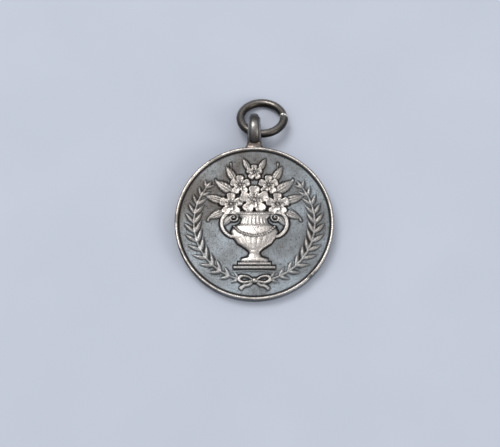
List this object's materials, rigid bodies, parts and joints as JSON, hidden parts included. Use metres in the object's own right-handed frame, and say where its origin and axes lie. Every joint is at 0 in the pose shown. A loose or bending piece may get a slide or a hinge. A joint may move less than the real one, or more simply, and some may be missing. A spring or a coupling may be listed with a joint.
{
  "type": "watch fob",
  "caption": "Round silver medal fob for a watch chain, with a relief front, a plain back, a soldered strap loop and a split jump ring.",
  "frame": {"origin": "centre of the medal's plain back field", "axes": "+Z out of the medal's relief side, +Y along the medal to the loop and ring, +X to the right seen from the relief side; the ring lies as it does with the fob put down on its back"},
  "size_m": [0.032, 0.0442, 0.0074],
  "materials": {
    "medal_silver": "struck sterling silver, satin field toned blue grey, raised parts rubbed bright, dark tarnish in the recesses",
    "loop_silver": "silver strap, tarnished dark grey brown, rubbed bright on its crown",
    "solder": "silver solder, duller and browner than the pieces it joins",
    "ring_silver": "silver wire, tarnished dark grey brown, smooth, with small bright highlights"
  },
  "bodies": {
    "fob": {"medal": "medal_silver", "suspension_loop": "loop_silver", "solder_fillet": "solder"},
    "ring": {"jump_ring": "ring_silver"}
  },
  "joints": [
    {"name": "ring_swing", "type": "hinge", "parent": "fob", "child": "ring", "pos_m": [0, 0.01995, 0.00085], "axis": [1, 0, 0], "range_deg": [-126, 173]}
  ]
}
